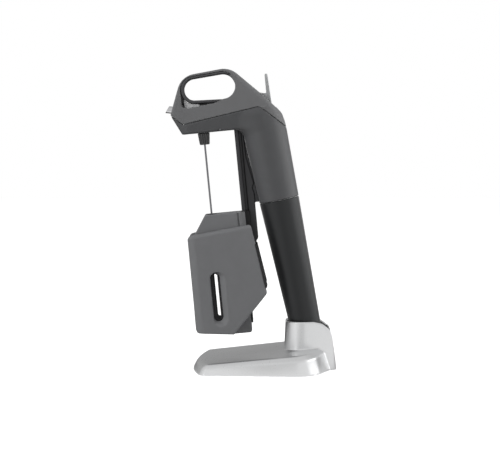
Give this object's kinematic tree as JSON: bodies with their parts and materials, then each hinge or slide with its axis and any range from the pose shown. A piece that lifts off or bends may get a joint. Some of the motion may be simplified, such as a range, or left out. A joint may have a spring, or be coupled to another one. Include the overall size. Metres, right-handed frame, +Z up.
{
  "type": "wine preservation dispenser on a stand",
  "caption": "Hand-held needle dispenser with loop handle, thumb trigger, spout, bottle clamp and gas capsule cup, standing in its own base.",
  "frame": {"origin": "on the table under the centre of the stand, in the plane of the non-slip pad's underside", "axes": "+Z up, -Y to the front where the spout points, +X to the side that the picture shows"},
  "size_m": [0.0862, 0.1375, 0.2416],
  "materials": {
    "stand_silver": "satin",
    "head_grey": "fine satin",
    "lower_grey": "fine satin",
    "clamp_grey": "fine satin",
    "light_grey": "smooth satin",
    "plastic_black": "matte",
    "knob_black": "gloss",
    "cup_black": "anodised satin",
    "collar_metal": "turned",
    "rubber_black": "matte",
    "steel": "polished",
    "brass": "turned"
  },
  "bodies": {
    "stand": {"base_shell": "stand_silver", "socket_liner": "rubber_black", "ballast_plate": "steel", "bottom_cover": "plastic_black", "non_slip_pad": "rubber_black", "cover_screw_1": "steel", "cover_screw_2": "steel", "cover_screw_3": "steel", "cover_screw_4": "steel"},
    "head": {"head_upper_shell": "head_grey", "head_lower_shell": "lower_grey", "grip_ring": "plastic_black", "rail": "plastic_black", "rail_pin": "steel", "pour_spout": "steel", "valve_block": "light_grey", "valve_spring": "steel", "gas_tube": "plastic_black", "needle_socket": "steel", "needle_seal": "rubber_black", "trigger_pin": "steel", "shell_screw_left": "steel", "shell_screw_right": "steel", "regulator_body": "brass", "piercing_pin": "steel", "regulator_piston": "brass", "regulator_spring": "steel", "regulator_cap": "brass", "capsule_seal": "rubber_black", "neck_collar": "collar_metal"},
    "clamp": {"clamp_frame": "clamp_grey", "needle_bush": "plastic_black", "guide_strip_left": "rubber_black", "guide_strip_right": "rubber_black", "hinge_pin_left": "steel", "hinge_pin_right": "steel", "clamp_spring_left": "steel", "clamp_spring_right": "steel"},
    "paddle_right": {"clamp_paddle_right": "clamp_grey", "paddle_pad_right": "rubber_black", "paddle_strip_right": "rubber_black"},
    "paddle_left": {"clamp_paddle_left": "clamp_grey", "paddle_pad_left": "rubber_black", "paddle_strip_left": "rubber_black"},
    "trigger": {"trigger_lever": "light_grey"},
    "valve_rod": {"push_rod": "steel"},
    "needle": {"needle": "steel"},
    "needle_knob": {"needle_knob": "knob_black"},
    "capsule": {"gas_capsule": "steel"},
    "cup": {"capsule_cup": "cup_black", "capsule_pad": "rubber_black"}
  },
  "joints": [
    {"name": "dispenser_lift", "type": "slide", "parent": "stand", "child": "head", "axis": [0, -0.2062, 0.9785], "range_m": [0, 0.03]},
    {"name": "clamp_slide", "type": "slide", "parent": "head", "child": "clamp", "axis": [0, -0.0958, 0.9954], "range_m": [0, 0.052]},
    {"name": "paddle_right_open", "type": "hinge", "parent": "clamp", "child": "paddle_right", "pos_m": [0.0116, -0.01889, 0.07453], "axis": [0, -0.0958, 0.9954], "range_deg": [0, 13], "stiffness_Nm_per_rad": 0.1, "springref_deg": -11.46},
    {"name": "paddle_left_open", "type": "hinge", "parent": "clamp", "child": "paddle_left", "pos_m": [-0.0116, -0.01889, 0.07453], "axis": [0, 0.0958, -0.9954], "range_deg": [0, 13], "stiffness_Nm_per_rad": 0.1, "springref_deg": -11.46},
    {"name": "trigger_press", "type": "hinge", "parent": "head", "child": "trigger", "pos_m": [0, 0.00163, 0.2057], "axis": [1, 0, 0], "range_deg": [0, 14], "stiffness_Nm_per_rad": 0.2, "springref_deg": -5.73},
    {"name": "valve_rod_slide", "type": "slide", "parent": "head", "child": "valve_rod", "axis": [0, -0.9954, -0.0958], "range_m": [0, 0.0016]},
    {"name": "needle_screw_slide", "type": "slide", "parent": "head", "child": "needle", "axis": [0, 0.0958, -0.9954], "range_m": [0, 0.0024]},
    {"name": "needle_screw_turn", "type": "hinge", "parent": "needle", "child": "needle_knob", "pos_m": [0, -0.0499, 0.1921], "axis": [0, 0.0958, -0.9954], "range_deg": [0, 720]},
    {"name": "cup_screw_slide", "type": "slide", "parent": "head", "child": "capsule", "axis": [0, 0.2062, -0.9785], "range_m": [0, 0.0045]},
    {"name": "cup_screw_turn", "type": "hinge", "parent": "capsule", "child": "cup", "pos_m": [0, 0.01094, 0.13718], "axis": [0, 0.2062, -0.9785], "range_deg": [0, 1080]}
  ],
  "couplings": [
    {"joint": "valve_rod_slide", "follows": "trigger_press", "m_per_rad": 0.006},
    {"joint": "needle_screw_turn", "follows": "needle_screw_slide", "rad_per_m": 5235.9},
    {"joint": "cup_screw_turn", "follows": "cup_screw_slide", "rad_per_m": 4188.7}
  ]
}
